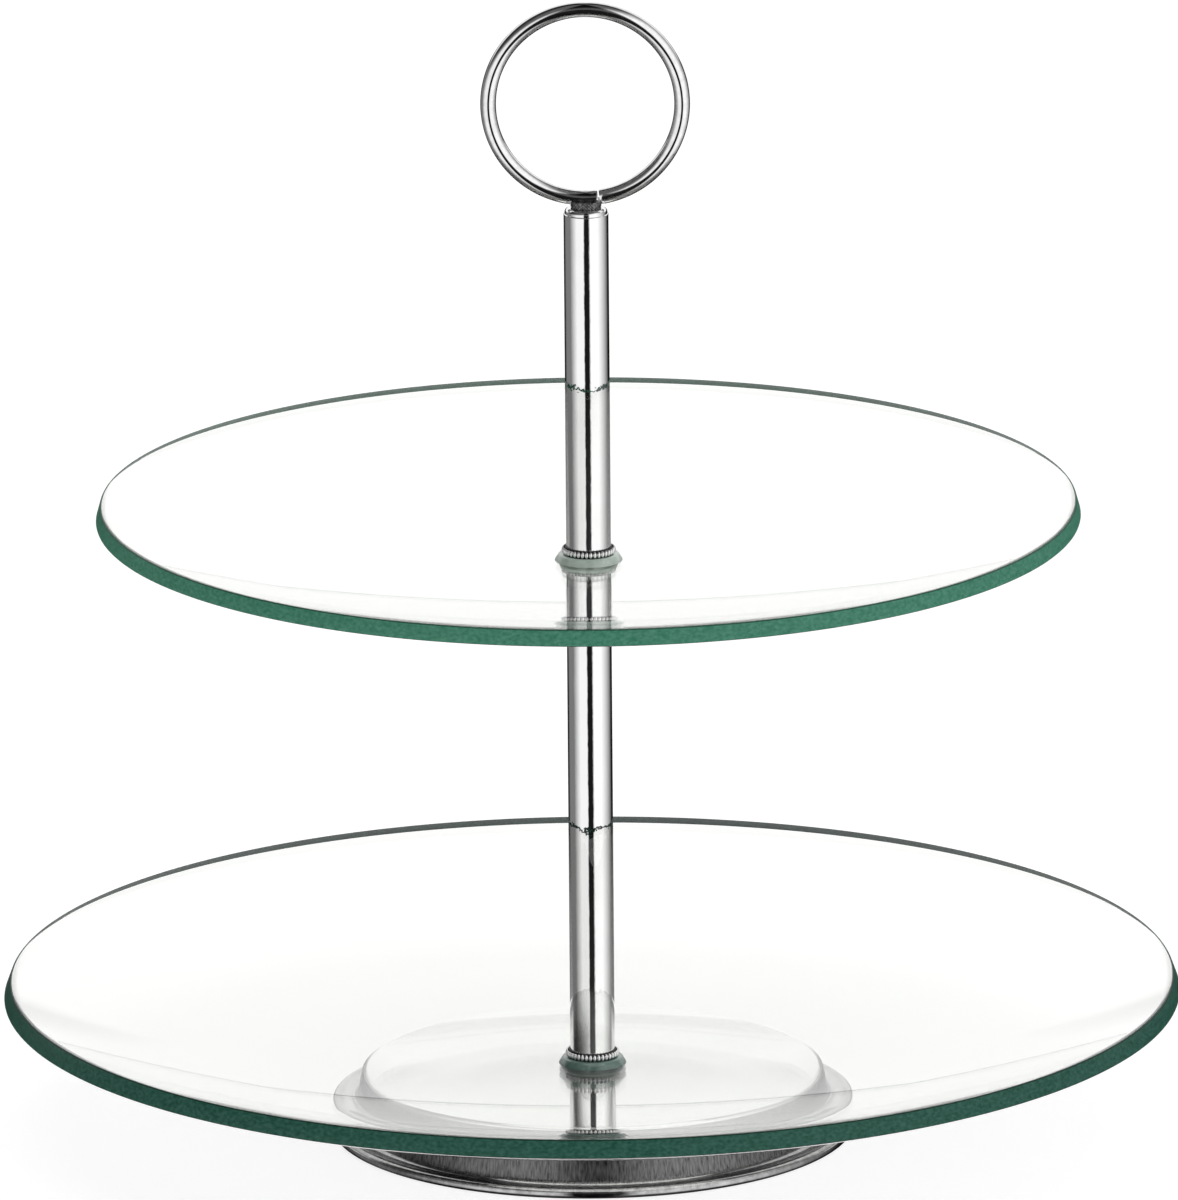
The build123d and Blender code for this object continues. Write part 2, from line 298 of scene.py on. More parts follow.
def turnedTree():
    # turns the seed's row of points, (radius, hexagon or not, height), round the column
    tree, given = newTree("turnedPiece", (("Profile", "Geometry"), ("Segments", "Int"),
                                          ("Finish", "Material")))
    count = add(tree, "GeometryNodeAttributeDomainSize", {0: given["Profile"]}).outputs[0]
    grid, row, angle = ringGrid(tree, count, given["Segments"])
    place = add(tree, "GeometryNodeInputPosition").outputs[0]
    sample = add(tree, "GeometryNodeSampleIndex", data_type="FLOAT_VECTOR", domain="POINT")
    tree.links.new(given["Profile"], sample.inputs[0])
    tree.links.new(place, sample.inputs["Value"])
    tree.links.new(row, sample.inputs["Index"])
    parts = add(tree, "ShaderNodeSeparateXYZ", {0: sample.outputs[0]}).outputs
    flat = calc(tree, "SUBTRACT", calc(tree, "FRACT", calc(tree, "DIVIDE", angle, tau / 6)), 0.5)
    corner = calc(tree, "DIVIDE", 1, calc(tree, "COSINE", calc(tree, "MULTIPLY", flat, tau / 6)))
    swell = calc(tree, "MULTIPLY_ADD", calc(tree, "SUBTRACT", corner, 1), parts[1], 1)
    radius = calc(tree, "MULTIPLY", parts[0], swell)
    close(tree, rolled(tree, grid, radius, angle, parts[2]), given["Finish"])
    return tree


turned = turnedTree()


def turn(name, outline, segments, material, sharp=35):
    values = {"Segments": segments, "Finish": material}
    return made(name, turned, values, profileMesh(name, outline), sharp)


def rodRule(tree, given):
    # rows of rings from Low to High; the first and the last shrink to a point and close the rod
    grid, row, angle = ringGrid(tree, given["Rows"], given["Segments"])
    share = add(tree, "ShaderNodeClamp", {0: calc(tree, "DIVIDE", calc(tree, "SUBTRACT", row, 1),
                                                  calc(tree, "SUBTRACT", given["Rows"], 3))}).outputs[0]
    length = calc(tree, "SUBTRACT", given["High"], given["Low"])
    height = calc(tree, "MULTIPLY_ADD", share, length, given["Low"])
    filled = calc(tree, "MULTIPLY", calc(tree, "GREATER_THAN", row, 0.5),
                  calc(tree, "LESS_THAN", row, calc(tree, "SUBTRACT", given["Rows"], 1.5)))
    return grid, share, angle, height, filled


def threadTree():
    # a rod whose skin is a V thread of one start, with chamfered ends, and the head it is given
    tree, given = newTree("screwThread", (
        ("Head", "Geometry"), ("Radius", "Float"), ("Depth", "Float"), ("Pitch", "Float"),
        ("Low", "Float"), ("High", "Float"), ("Chamfer", "Float"), ("Rows", "Int"),
        ("Segments", "Int"), ("Finish", "Material")))
    grid, _, angle, height, filled = rodRule(tree, given)
    turns = calc(tree, "SUBTRACT", calc(tree, "DIVIDE", height, given["Pitch"]),
                 calc(tree, "DIVIDE", angle, tau))
    # clamped at nothing, so the crest has a narrow flat and the root is sharp
    flank = calc(tree, "MULTIPLY_ADD", calc(tree, "PINGPONG", turns, 0.5), 2.6, -0.3)
    groove = calc(tree, "MULTIPLY", add(tree, "ShaderNodeClamp", {0: flank}).outputs[0], given["Depth"])
    toEnd = calc(tree, "MINIMUM", calc(tree, "SUBTRACT", height, given["Low"]),
                 calc(tree, "SUBTRACT", given["High"], height))
    bevel = calc(tree, "ADD", calc(tree, "SUBTRACT", given["Radius"], given["Chamfer"]), toEnd)
    skin = calc(tree, "MINIMUM", calc(tree, "SUBTRACT", given["Radius"], groove), bevel)
    rod = rolled(tree, grid, calc(tree, "MULTIPLY", skin, filled), angle, height)
    close(tree, joined(tree, given["Head"], rod), given["Finish"])
    return tree


def knurlTree():
    # a tapered plug with crossed grooves
    tree, given = newTree("knurledPlug", (
        ("Low Radius", "Float"), ("High Radius", "Float"), ("Depth", "Float"), ("Grooves", "Int"),
        ("Slant", "Float"), ("Low", "Float"), ("High", "Float"), ("Rows", "Int"), ("Segments", "Int"),
        ("Finish", "Material")))
    grid, share, angle, height, filled = rodRule(tree, given)
    around = calc(tree, "MULTIPLY", calc(tree, "DIVIDE", angle, tau), given["Grooves"])
    lean = calc(tree, "MULTIPLY", share, given["Slant"])
    right = calc(tree, "PINGPONG", calc(tree, "ADD", around, lean), 0.5)
    left = calc(tree, "PINGPONG", calc(tree, "SUBTRACT", around, lean), 0.5)
    cut = calc(tree, "MULTIPLY", calc(tree, "MINIMUM", right, left), given["Depth"])
    widening = calc(tree, "SUBTRACT", given["High Radius"], given["Low Radius"])
    taper = calc(tree, "MULTIPLY_ADD", share, widening, given["Low Radius"])
    skin = calc(tree, "SUBTRACT", taper, calc(tree, "MULTIPLY", cut, 2))
    close(tree, rolled(tree, grid, calc(tree, "MULTIPLY", skin, filled), angle, height), given["Finish"])
    return tree


thread = threadTree()


# two glass plates from one mould: a flat middle curve, a tighter one outside it
dish = {"centreRadius": 515 * mm, "outerRadius": 330 * mm, "changeAt": 97 * mm,
        "arris": 0.4 * mm, "holeArris": 0.3 * mm, "hole": 5.1 * mm, "gasketRadius": 8.6 * mm,
        "steps": 44, "segments": 320}
lowerPlate = {"radius": 150 * mm, "glass": 4.8 * mm}
upperPlate = {"radius": 125 * mm, "glass": 4.3 * mm}


def dishPoint(topZ, depth, slope):
    # a point of the mould's face, or of the face depth below it, where the slope is so many radians
    change = math.asin(dish["changeAt"] / dish["centreRadius"])
    middle, outer = dish["centreRadius"], dish["outerRadius"]
    if slope <= change:
        return (middle + depth) * math.sin(slope), topZ + middle - (middle + depth) * math.cos(slope)
    back = middle - outer
    r = back * math.sin(change) + (outer + depth) * math.sin(slope)
    return r, topZ + middle - back * math.cos(change) - (outer + depth) * math.cos(slope)


def glassPlate(name, node, gasket, plateSize, edge, arrisShade, body):
    glass, radius = plateSize["glass"], plateSize["radius"]
    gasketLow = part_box(gasket)[0].z
    restRise = dish["centreRadius"] - math.sqrt(dish["centreRadius"] ** 2 - dish["gasketRadius"] ** 2)
    topZ = gasketLow - restRise
    arris, holeArris, steps = dish["arris"], dish["holeArris"], dish["steps"]
    change = math.asin(dish["changeAt"] / dish["centreRadius"])
    shift = (dish["centreRadius"] - dish["outerRadius"]) * math.sin(change)
    rim = math.asin((radius - shift) / (dish["outerRadius"] + glass))
    along, up = Vector((math.cos(rim), math.sin(rim))), Vector((-math.sin(rim), math.cos(rim)))
    topCorner = Vector(dishPoint(topZ, 0, rim))
    bottomCorner = topCorner - up * glass

    def skin(depth):
        first = math.asin((dish["hole"] + holeArris) / (dish["centreRadius"] + depth))
        last = rim - arris / (dish["outerRadius"] + depth)
        return [dishPoint(topZ, depth, first + (last - first) * i / steps) for i in range(steps + 1)]

    def corner(centre, start, end):
        turnSteps = [i / 4 * math.pi / 2 for i in range(5)]
        return [tuple(centre + arris * (start * math.cos(a) + end * math.sin(a))) for a in turnSteps]

    top, bottom = skin(0), skin(glass)
    outline = list(top)
    outline += corner(topCorner - along * arris - up * arris, up, along)
    outline += corner(bottomCorner - along * arris + up * arris, along, -up)
    outline += bottom[::-1]
    outline += [(dish["hole"], bottom[0][1] + holeArris), (dish["hole"], top[0][1] - holeArris), top[0]]
    plate = turn(name, outline, dish["segments"], clearGlass, 20)
    plate.data.materials.append(edge)
    plate.data.materials.append(arrisShade)
    # the ground edge takes index 1, and its top arris index 2, the painted dark line
    edgeStart = topCorner.dot(along) - arris * 1.02
    bandTop, bandFoot = topCorner.dot(up) - arris * 0.9, bottomCorner.dot(up) + arris * 0.45
    for facet in plate.data.polygons:
        spot = Vector((math.hypot(facet.center.x, facet.center.y), facet.center.z))
        if spot.dot(along) > edgeStart and spot.dot(up) > bandFoot:
            facet.material_index = 2 if spot.dot(up) > bandTop else 1
    standIn(plate, body, "glass", node)


glassPlate("lowerGlassPlate", "lower_plate", "lower_gasket", lowerPlate, lowerEdgeShaded, lowerArrisShade, "lower_tier")
glassPlate("upperGlassPlate", "upper_plate", "upper_gasket", upperPlate, upperEdge, upperArrisShade, "upper_tier")
print("glass plates made")


# column tubes, their ends rolled over a little
tubeShape = {"radius": 5.7 * mm, "wall": 1.0 * mm, "lip": 0.3 * mm, "segments": 128}


def columnTube(name, node, body):
    low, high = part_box(node)
    inner = tubeShape["radius"] - tubeShape["wall"]
    outline = roundedBand(inner, tubeShape["radius"], low.z, high.z, tubeShape["lip"])
    tube = turn(name, outline, tubeShape["segments"], tubeNickel)
    standIn(tube, body, "bright_steel", node)


columnTube("lowerColumnTube", "lower_tube", "stand")
columnTube("upperColumnTube", "upper_tube", "upper_column")
print("column made")


def beadRingTree():
    # a band with a row of beads set round it; what lies inside the row is painted dark, as shade in the
    # groove
    tree, given = newTree("beadRing", (
        ("Band", "Geometry"), ("Beads", "Int"), ("Row Radius", "Float"), ("Row Height", "Float"),
        ("Bead Radius", "Float"), ("Bead Height", "Float"), ("Finish", "Material"), ("Groove", "Material")))
    circle = add(tree, "GeometryNodeMeshCircle",
                 {"Vertices": given["Beads"], "Radius": given["Row Radius"]}).outputs[0]
    lift = add(tree, "ShaderNodeCombineXYZ", {2: given["Row Height"]}).outputs[0]
    row = add(tree, "GeometryNodeTransform", {0: circle, "Translation": lift}).outputs[0]
    bead = add(tree, "GeometryNodeMeshUVSphere", {"Segments": 14, "Rings": 9, "Radius": 1.0}).outputs[0]
    size = add(tree, "ShaderNodeCombineXYZ",
               {0: given["Bead Radius"], 1: given["Bead Radius"], 2: given["Bead Height"]}).outputs[0]
    beads = add(tree, "GeometryNodeInstanceOnPoints",
                {"Points": row, "Instance": bead, "Scale": size}).outputs[0]
    x, y, z = add(tree, "ShaderNodeSeparateXYZ",
                  {0: add(tree, "GeometryNodeInputPosition").outputs[0]}).outputs
    fromAxis = calc(tree, "SQRT", calc(tree, "MULTIPLY_ADD", x, x, calc(tree, "MULTIPLY", y, y)))
    grooveEdge = calc(tree, "MULTIPLY_ADD", given["Bead Radius"], -0.15, given["Row Radius"])
    inGroove = calc(tree, "LESS_THAN", fromAxis, grooveEdge)
    close(tree, joined(tree, given["Band"], beads), given["Finish"], given["Groove"], inGroove)
    return tree


# bead rings, washer and soft gaskets
beadRow = {"beads": 38, "beadRadius": 0.48 * mm, "beadHeight": 0.80 * mm, "aboveFoot": 1.03 * mm,
           "inner": 5.76 * mm, "collar": 0.22 * mm, "ledge": 0.85 * mm}
washerRow = {"beads": 40, "beadRadius": 0.48 * mm, "beadHeight": 0.58 * mm, "hole": 3.2 * mm,
             "lip": 0.15 * mm}
gasketShape = {"topIn": 1.0 * mm, "underIn": 0.3 * mm, "hole": 3.2 * mm, "round": 0.15 * mm}
bandShape = {"hole": 3.2 * mm, "padLip": 0.15 * mm, "washerLip": 0.2 * mm}
beadTree = beadRingTree()


def beaded(name, node, body, outline, row, rowHeight):
    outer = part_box(node)[1].x
    band = turn(name + "Band", outline(outer - row["beadRadius"] * 1.25), 96, beadNickel)
    values = {"Beads": row["beads"], "Row Radius": outer - row["beadRadius"], "Row Height": rowHeight,
              "Bead Radius": row["beadRadius"], "Bead Height": row["beadHeight"], "Finish": beadNickel,
              "Groove": grooveShade}
    ring = made(name, beadTree, values, band.data)
    bpy.data.objects.remove(band)
    standIn(ring, body, "bright_steel", node)


def beadRing(name, node, body):
    # a ledge that carries the beads, and a thin collar up the tube behind them
    low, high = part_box(node)
    inner, collar = beadRow["inner"], beadRow["inner"] + beadRow["collar"]
    ledge, soft = low.z + beadRow["ledge"], 0.05 * mm

    def outline(rowRadius):
        return [(inner, low.z), (rowRadius, low.z), (rowRadius, ledge), (collar, ledge + soft),
                (collar, high.z - soft), (collar - soft, high.z), (inner, high.z), (inner, low.z)]

    beaded(name, node, body, outline, beadRow, low.z + beadRow["aboveFoot"])


def beadWasher(name, node, body):
    low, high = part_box(node)

    def outline(rowRadius):
        return roundedBand(washerRow["hole"], rowRadius, low.z, high.z, washerRow["lip"])

    beaded(name, node, body, outline, washerRow, (low.z + high.z) / 2)


def gasket(name, node, body, material, bevel, flip=False):
    low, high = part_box(node)
    foot, hole, soft = high.x, gasketShape["hole"], gasketShape["round"]
    top = foot - bevel
    heights = [low.z, low.z + soft * 0.5, low.z + soft * 1.5, high.z - soft, high.z]
    if flip:
        heights = [low.z + high.z - z for z in heights]
    outline = [(hole, heights[0]), (foot - soft, heights[0]), (foot, heights[1]),
               (foot - soft * 0.3, heights[2]), (top + soft * 0.6, heights[3]),
               (top - soft * 0.5, heights[4]), (hole, heights[4]), (hole, heights[0])]
    disc = turn(name, outline, 96, material, 50)
    standIn(disc, body, "gasket", node)


def softBand(name, node, body, slot, material, lip):
    # a washer or pad: the CAD piece with its corners taken off
    low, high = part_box(node)
    ring = turn(name, roundedBand(bandShape["hole"], high.x, low.z, high.z, lip), 72, material)
    standIn(ring, body, slot, node)


beadRing("lowerBeadRing", "lower_bead_ring", "stand")
beadRing("upperBeadRing", "upper_bead_ring", "upper_trim")
beadWasher("beadedSupportWasher", "support_washer", "stand")
gasket("lowerGasket", "lower_gasket", "lower_tier", lowerGasketPaintedShade, gasketShape["topIn"])
gasket("upperGasket", "upper_gasket", "upper_tier", upperGasketPaintedLight, gasketShape["topIn"])
gasket("underGasket", "upper_under_gasket", "upper_tier", upperGasketPaintedLight, gasketShape["underIn"],
       flip=True)
softBand("footPad", "foot_pad", "stand", "pad", padPlastic, bandShape["padLip"])
softBand("footWasher", "foot_washer", "stand", "hidden_steel", screwSteel, bandShape["washerLip"])
print("trim made")


# pressed foot: polished top, drawn wall, rolled rim; the wall and the rim are painted darker than the top,
# as shade under the glass plate
footShape = {"topRadius": 59.5 * mm, "baseRadius": 60.5 * mm, "shoulder": 1.5 * mm, "fillet": 2.0 * mm,
             "sheet": 0.6 * mm, "flange": 1.9 * mm, "roll": 1.3 * mm, "rollCentre": 65.8 * mm,
             "hole": 3.2 * mm, "segments": 192, "rimFrom": 61.3 * mm}


def footOutline():
    # one skin of sheet: over the top, down the wall, out along the flange, round the roll and back
    f = footShape
    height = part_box("foot")[1].z

    def skin(inset):
        top = height - inset
        shoulder, hollow = f["shoulder"] - inset, f["fillet"] + inset
        flange = f["flange"] - inset
        wallTop, wallBase = f["topRadius"] - inset, f["baseRadius"] - inset
        points = [(f["hole"], top), (f["topRadius"] * 0.5, top)]
        points += arc((wallTop - shoulder, top - shoulder), shoulder, 90, 5, 6)
        points += arc((wallBase + hollow, flange + hollow), hollow, 185, 270, 6)
        return points

    over = arc((f["rollCentre"], f["roll"] - 0.05 * mm), f["roll"], 125, -235, 28)
    inner = skin(f["sheet"])
    outline = [(r, max(z, 0.0)) for r, z in skin(0) + over[:-1]]
    return outline + [(over[-1][0], inner[-1][1])] + inner[::-1] + [(f["hole"], height)]


def pressedFoot():
    foot = turn("pressedFoot", footOutline(), footShape["segments"], footTopSteel, 40)
    foot.data.materials.append(footWallShaded)
    foot.data.materials.append(footRimShaded)
    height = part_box("foot")[1].z
    # the wall and the rim take the darker painted-shade copies of the sheet's steel
    for facet in foot.data.polygons:
        across = math.hypot(facet.center.x, facet.center.y)
        if across > footShape["rimFrom"]:
            facet.material_index = 2
        elif facet.center.z < height - footShape["shoulder"] * 0.8 or facet.normal.z < -0.5:
            facet.material_index = 1
    standIn(foot, "stand", "foot_steel", "foot")


pressedFoot()
print("foot made")


# screws and studs: M6, one millimetre a turn
screwShape = {"radius": 2.98 * mm, "depth": 0.55 * mm, "pitch": 1.0 * mm, "chamfer": 0.8 * mm,
              "rowsPerTurn": 8, "segments": 32}
headShape = {"radius": 6.0 * mm, "high": 3.6 * mm, "round": 1.2 * mm, "socketFlat": 2.0 * mm,
             "socketDeep": 2.4 * mm, "drill": 0.5 * mm}


def threaded(name, node, body, slot, head=None, headHigh=0.0):
    low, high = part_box(node)
    start = low.z + headHigh
    turns = (high.z - start) / screwShape["pitch"]
    values = {"Radius": screwShape["radius"], "Depth": screwShape["depth"], "Pitch": screwShape["pitch"],
              "Low": start, "High": high.z, "Chamfer": screwShape["chamfer"],
              "Rows": int(turns * screwShape["rowsPerTurn"]) + 3, "Segments": screwShape["segments"],
              "Finish": screwSteel}
    screw = made(name, thread, values, head, 40)
    standIn(screw, body, slot, node)


def panHead(node):
    # from the shank's side over the rounded rim into the hexagon socket
    h = headShape
    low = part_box(node)[0].z
    top = low + h["high"]
    outline = [(0, top), (h["radius"] - 0.1 * mm, top), (h["radius"], top - 0.1 * mm)]
    outline += arc((h["radius"] - h["round"], low + h["round"]), h["round"], 0, -90, 8)
    outline += [(h["socketFlat"] + 0.15 * mm, low, 1), (h["socketFlat"], low + 0.12 * mm, 1),
                (h["socketFlat"], low + h["socketDeep"], 1), (h["socketFlat"] * 0.9, low + h["socketDeep"]),
                (0, low + h["socketDeep"] + h["drill"])]
    return turn("panHead", outline, 96, screwSteel)


footHead = panHead("foot_screw")
threaded("footScrew", "foot_screw", "stand", "hidden_steel", footHead.data, headShape["high"] - 0.2 * mm)
bpy.data.objects.remove(footHead)
threaded("joiningStud", "joining_stud", "stand", "hidden_steel")
threaded("handleStud", "handle_stud", "handle", "hidden_steel")
print("screws made")


def bentWireTree():
    # round wire bent to a ring that stays open by a hair, its two ends a little drawn in
    tree, given = newTree("bentWire", (
        ("Radius", "Float"), ("Wire Radius", "Float"), ("Start", "Float"), ("Sweep", "Float"),
        ("Height", "Float"), ("End Length", "Float"), ("End Size", "Float"), ("Finish", "Material")))
    bend = add(tree, "GeometryNodeCurveArc", {"Resolution": 400, "Radius": given["Radius"],
                                              "Start Angle": given["Start"], "Sweep Angle": given["Sweep"]})
    lift = add(tree, "ShaderNodeCombineXYZ", {2: given["Height"]}).outputs[0]
    upright = add(tree, "GeometryNodeTransform",
                  {0: bend.outputs[0], "Translation": lift, "Rotation": (math.pi / 2, 0, 0)}).outputs[0]
    along = add(tree, "GeometryNodeSplineParameter").outputs["Factor"]
    toEnd = calc(tree, "MINIMUM", along, calc(tree, "SUBTRACT", 1, along))
    size = add(tree, "ShaderNodeMapRange", {"Value": toEnd, "From Min": 0.0, "From Max": given["End Length"],
                                            "To Min": given["End Size"], "To Max": 1.0},
               interpolation_type="SMOOTHSTEP").outputs[0]
    sized = add(tree, "GeometryNodeSetCurveRadius", {"Curve": upright, "Radius": size}).outputs[0]
    section = add(tree, "GeometryNodeCurvePrimitiveCircle",
                  {"Resolution": 40, "Radius": given["Wire Radius"]}).outputs[0]
    wire = add(tree, "GeometryNodeCurveToMesh",
               {"Curve": sized, "Profile Curve": section, "Scale": size, "Fill Caps": True})
    close(tree, wire.outputs[0], given["Finish"])
    return tree


def brazeTree():
    # a lump of braze: an egg whose skin is pushed in and out by noise
    tree, given = newTree("brazeLump", (("Length", "Float"), ("Width", "Float"), ("High", "Float"),
                                        ("Place", "Vector"), ("Lumps", "Float"), ("Finish", "Material")))
    ball = add(tree, "GeometryNodeMeshUVSphere", {"Segments": 64, "Rings": 32, "Radius": 1.0}).outputs[0]
    where = add(tree, "GeometryNodeInputPosition").outputs[0]
    noise = add(tree, "ShaderNodeTexNoise", {"Vector": where, "Scale": 3.2, "Detail": 3.0}).outputs[0]
    push = calc(tree, "MULTIPLY_ADD", calc(tree, "SUBTRACT", noise, 1.0), given["Lumps"], 1.0)
    lumpy = add(tree, "ShaderNodeVectorMath", {0: where}, operation="SCALE")
    tree.links.new(push, lumpy.inputs["Scale"])
    moved = add(tree, "GeometryNodeSetPosition", {"Geometry": ball, "Position": lumpy.outputs[0]}).outputs[0]
    size = add(tree, "ShaderNodeCombineXYZ",
               {0: given["Length"], 1: given["Width"], 2: given["High"]}).outputs[0]
    placed = add(tree, "GeometryNodeTransform",
                 {0: moved, "Translation": given["Place"], "Scale": size}).outputs[0]
    close(tree, placed, given["Finish"])
    return tree


# handle: ring of wire, knurled neck, braze between them, domed cap below
handleShape = {"wireRadius": 2.0 * mm, "joint": 0.4 * mm, "jointAngle": 7.7,
               "endLength": 0.004, "endSize": 0.95}   # endLength is a share of the wire's length
neckShape = {"lowRadius": 3.8 * mm, "highRadius": 4.2 * mm, "depth": 0.16 * mm, "grooves": 30,
             "slant": 2.6, "rows": 24, "segments": 240}
brazeShape = {"length": 4.0 * mm, "width": 1.9 * mm, "high": 0.8 * mm, "lumps": 0.55}
capShape = {"hole": 3.2 * mm, "round": 1.1 * mm}


def handleRing():
    low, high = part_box("handle_ring")
    wire = handleShape["wireRadius"]
    radius = (high.x - low.x) / 2 - wire
    gapAngle = handleShape["joint"] / radius
    jointAt = math.radians(-90 + handleShape["jointAngle"])
    ring = made("handleRing", bentWireTree(), {
        "Radius": radius, "Wire Radius": wire, "Start": jointAt + gapAngle / 2, "Sweep": tau - gapAngle,
        "Height": high.z - radius - wire, "End Length": handleShape["endLength"],
        "End Size": handleShape["endSize"], "Finish": ringNickel})
    standIn(ring, "handle", "bright_steel", "handle_ring")


def handleNeck():
    low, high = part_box("handle_neck")
    neck = made("knurledNeck", knurlTree(), {
        "Low Radius": neckShape["lowRadius"], "High Radius": neckShape["highRadius"],
        "Depth": neckShape["depth"], "Grooves": neckShape["grooves"], "Slant": neckShape["slant"],
        "Low": low.z, "High": high.z, "Rows": neckShape["rows"], "Segments": neckShape["segments"],
        "Finish": darkSteel}, sharp=50)
    standIn(neck, "handle", "dark_steel", "handle_neck")
    lump = made("brazeLump", brazeTree(), {
        "Length": brazeShape["length"], "Width": brazeShape["width"], "High": brazeShape["high"],
        "Place": (0.0, 0.0, high.z - 0.15 * mm), "Lumps": brazeShape["lumps"], "Finish": braze}, sharp=60)
    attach(lump, "handle")


def tubeCap():
    low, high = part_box("tube_cap")
    outer, hole, soft = high.x, capShape["hole"], capShape["round"]
    outline = [(hole, low.z), (outer, low.z)] + arc((outer - soft, high.z - soft), soft, 0, 90, 10)
    outline += [(hole + 0.2 * mm, high.z), (hole, high.z - 0.2 * mm), (hole, low.z)]
    cap = turn("domedCap", outline, 128, capNickel, 50)
    standIn(cap, "cap", "bright_steel", "tube_cap")


handleRing()
handleNeck()
tubeCap()
print("handle made")

# CAD pieces that keep their shape, in their own finishes
kept = {"lower_plate_sleeve": bushPlastic, "upper_plate_sleeve": bushPlastic,
        "lower_tube_bottom_insert": screwSteel, "lower_tube_top_insert": screwSteel,
        "upper_tube_bottom_insert": screwSteel, "upper_tube_top_insert": screwSteel}
for node, material in kept.items():
    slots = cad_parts[node].data.materials
    if len(slots):
        slots[0] = material
    else:
        slots.append(material)

# floor, studio and camera
studio = {
    # light panels round the stand: where each is at full glow, in degrees from the camera side with
    # right positive, and how far its first and its last edge take to fade
    "panels": ({"from": -50, "to": -15, "fadeIn": 50, "fadeOut": 5, "glow": 1.0},     # left softbox
               {"from": -125, "to": -60, "fadeIn": 20, "fadeOut": 20, "glow": 0.2},   # dim wall past it
               {"from": 20, "to": 60, "fadeIn": 8, "fadeOut": 75, "glow": 1.1}),      # right softbox
    "gapGlow": 0.01, "paperFrom": 175, "paperFade": 6,   # dark gaps, and white paper behind
    "stripGlow": 0.1, "floorGlow": 0.80, "floorColour": 0.42, "sunStrength": 0.9, "sunAngle": 60.0,
    "floorReach": 80.0, "floorSteps": 96,
}


def studioWorld():
    world = bpy.data.worlds.new("whiteStudio")
    bpy.context.scene.world = world
    world.use_nodes = True
    tree = world.node_tree
    tree.nodes.clear()
    way = add(tree, "ShaderNodeTexCoord").outputs["Generated"]
    x, y, z = add(tree, "ShaderNodeSeparateXYZ", {0: way}).outputs
    turnAngle = calc(tree, "ARCTAN2", x, calc(tree, "MULTIPLY", y, -1))
    azimuth = calc(tree, "MULTIPLY", turnAngle, 360 / tau)

    def edge(value, dark, bright, glow):
        feeds = {"Value": value, "From Min": dark, "From Max": bright, "To Min": 0.0, "To Max": glow}
        return add(tree, "ShaderNodeMapRange", feeds).outputs[0]

    paper = edge(calc(tree, "ABSOLUTE", azimuth), studio["paperFrom"] - studio["paperFade"],
                 studio["paperFrom"], 1.0)
    surround = calc(tree, "MAXIMUM", paper, studio["gapGlow"])
    for panel in studio["panels"]:
        rise = edge(azimuth, panel["from"] - panel["fadeIn"], panel["from"], panel["glow"])
        fall = edge(azimuth, panel["to"] + panel["fadeOut"], panel["to"], panel["glow"])
        surround = calc(tree, "MAXIMUM", surround, calc(tree, "MINIMUM", rise, fall))
    behind = add(tree, "ShaderNodeMapRange", {"Value": y, "From Min": 0.2, "From Max": 0.7},
                 interpolation_type="SMOOTHSTEP").outputs[0]
    start = calc(tree, "ADD", calc(tree, "MULTIPLY_ADD", x, 0.4, 0.35), calc(tree, "MULTIPLY", behind, 0.5))
    end = calc(tree, "ADD", start, 0.45)
    fade = add(tree, "ShaderNodeMapRange", {"Value": z, "From Min": start, "From Max": end,
                                            "To Min": 1.0, "To Max": 0.12},
               interpolation_type="SMOOTHSTEP").outputs[0]
    below = add(tree, "ShaderNodeMapRange", {"Value": z, "From Min": -0.5, "From Max": -0.85,
                                             "To Min": 1.0, "To Max": 0.1},
                interpolation_type="SMOOTHSTEP").outputs[0]
    # a soft strip of light all round, above eye level
    rising = add(tree, "ShaderNodeMapRange", {"Value": z, "From Min": 0.08, "From Max": 0.24,
                                              "To Min": 0.0, "To Max": studio["stripGlow"]},
                 interpolation_type="SMOOTHSTEP").outputs[0]
    setting = add(tree, "ShaderNodeMapRange", {"Value": z, "From Min": 0.55, "From Max": 0.75,
                                               "To Min": 1.0, "To Max": 0.3},
                  interpolation_type="SMOOTHSTEP").outputs[0]
    backdrop = add(tree, "ShaderNodeMapRange", {"Value": z, "From Min": 0.06, "From Max": 0.2},
                   interpolation_type="SMOOTHSTEP").outputs[0]
    wall = calc(tree, "MAXIMUM", surround, calc(tree, "MULTIPLY", rising, setting))
    wall = calc(tree, "MAXIMUM", wall, calc(tree, "MULTIPLY", backdrop, behind))
    level = calc(tree, "MULTIPLY", calc(tree, "MULTIPLY", fade, below), wall)
    glow = add(tree, "ShaderNodeBackground", {"Color": (1, 1, 1, 1), "Strength": level}).outputs[0]
    plain = add(tree, "ShaderNodeBackground", {"Color": (1, 1, 1, 1), "Strength": 1.05}).outputs[0]
    seen = add(tree, "ShaderNodeLightPath").outputs["Is Camera Ray"]
    mixed = add(tree, "ShaderNodeMixShader", {0: seen, 1: glow, 2: plain}).outputs[0]
    add(tree, "ShaderNodeOutputWorld", {0: mixed})


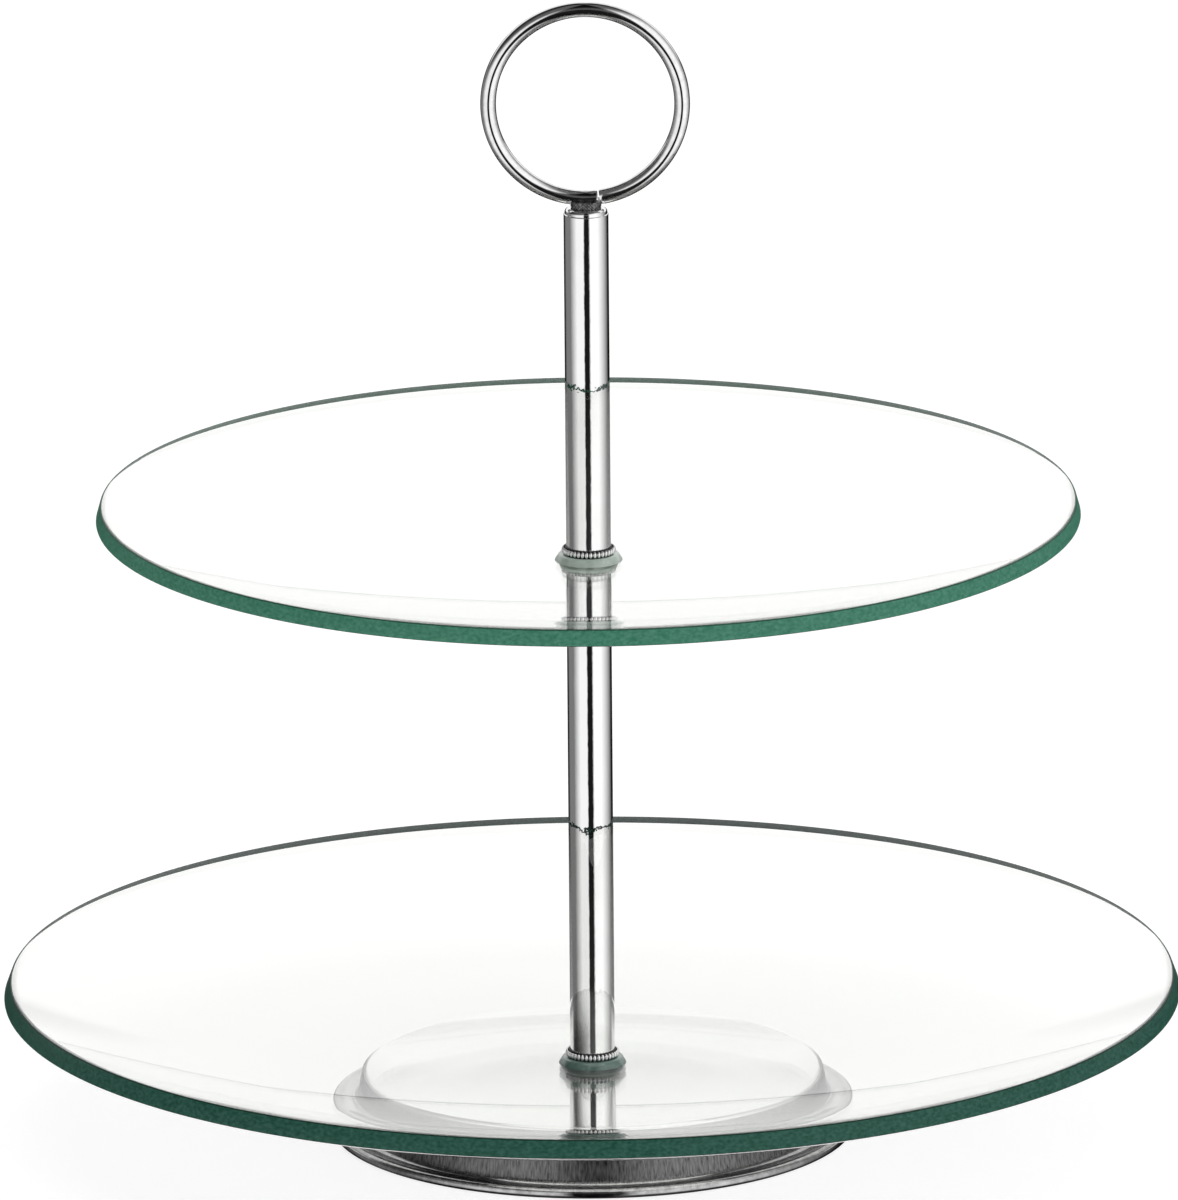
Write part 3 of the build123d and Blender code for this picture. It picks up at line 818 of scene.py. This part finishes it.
def paleFloor():
    floorMesh = bpy.data.meshes.new("paleFloor")
    steps, reach = studio["floorSteps"], studio["floorReach"]
    rim = [(reach * math.cos(tau * i / steps), reach * math.sin(tau * i / steps), 0) for i in range(steps)]
    floorMesh.from_pydata(rim, [], [tuple(range(steps))])
    floor = bpy.data.objects.new("paleFloor", floorMesh)
    bpy.context.scene.collection.objects.link(floor)
    material, tree, shader = finish("paleFloorPaint", Roughness=0.9, Specular_IOR_Level=0.0)
    level = studio["floorColour"]
    shader.inputs["Base Color"].default_value = (level, level, level, 1)
    shader.inputs["Emission Color"].default_value = (1, 1, 1, 1)
    shader.inputs["Emission Strength"].default_value = studio["floorGlow"]
    # what the metal mirrors is the studio round it, so a ray that has been mirrored passes the floor by
    mirrored = add(tree, "ShaderNodeLightPath").outputs["Glossy Depth"]
    passing = calc(tree, "GREATER_THAN", mirrored, 0.5)
    clear = add(tree, "ShaderNodeBsdfTransparent").outputs[0]
    mixed = add(tree, "ShaderNodeMixShader", {0: passing, 1: shader.outputs[0], 2: clear}).outputs[0]
    tree.links.new(mixed, tree.nodes["Material Output"].inputs["Surface"])
    floorMesh.materials.append(material)


def softSun(name, strength, elevation, azimuth):
    lamp = bpy.data.lights.new(name, "SUN")
    lamp.energy = strength
    lamp.angle = math.radians(studio["sunAngle"])
    sun = bpy.data.objects.new(name, lamp)
    bpy.context.scene.collection.objects.link(sun)
    sun.rotation_euler = (math.radians(90 - elevation), 0, math.radians(azimuth))
    sun.visible_glossy = False


view = {"target": Vector((0, 0, 138.83 * mm)), "distance": 6.0, "elevation": 15.235, "lens": 708.96,
        "roll": 0.45}


def camera():
    lens = bpy.data.cameras.new("camera")
    eye = bpy.data.objects.new("camera", lens)
    bpy.context.scene.collection.objects.link(eye)
    lens.lens = view["lens"]
    lens.sensor_width = 36.0
    lens.clip_end = 500.0
    tilt = math.radians(view["elevation"])
    eye.location = view["target"] + view["distance"] * Vector((0, -math.cos(tilt), math.sin(tilt)))
    aim = Matrix.Rotation(math.pi / 2 - tilt, 4, "X") @ Matrix.Rotation(math.radians(-view["roll"]), 4, "Z")
    eye.rotation_euler = aim.to_euler()
    bpy.context.scene.camera = eye


studioWorld()
paleFloor()
softSun("overheadSun", studio["sunStrength"], 80, 20)
camera()
bpy.context.scene.view_settings.view_transform = "Standard"

print("scene made")
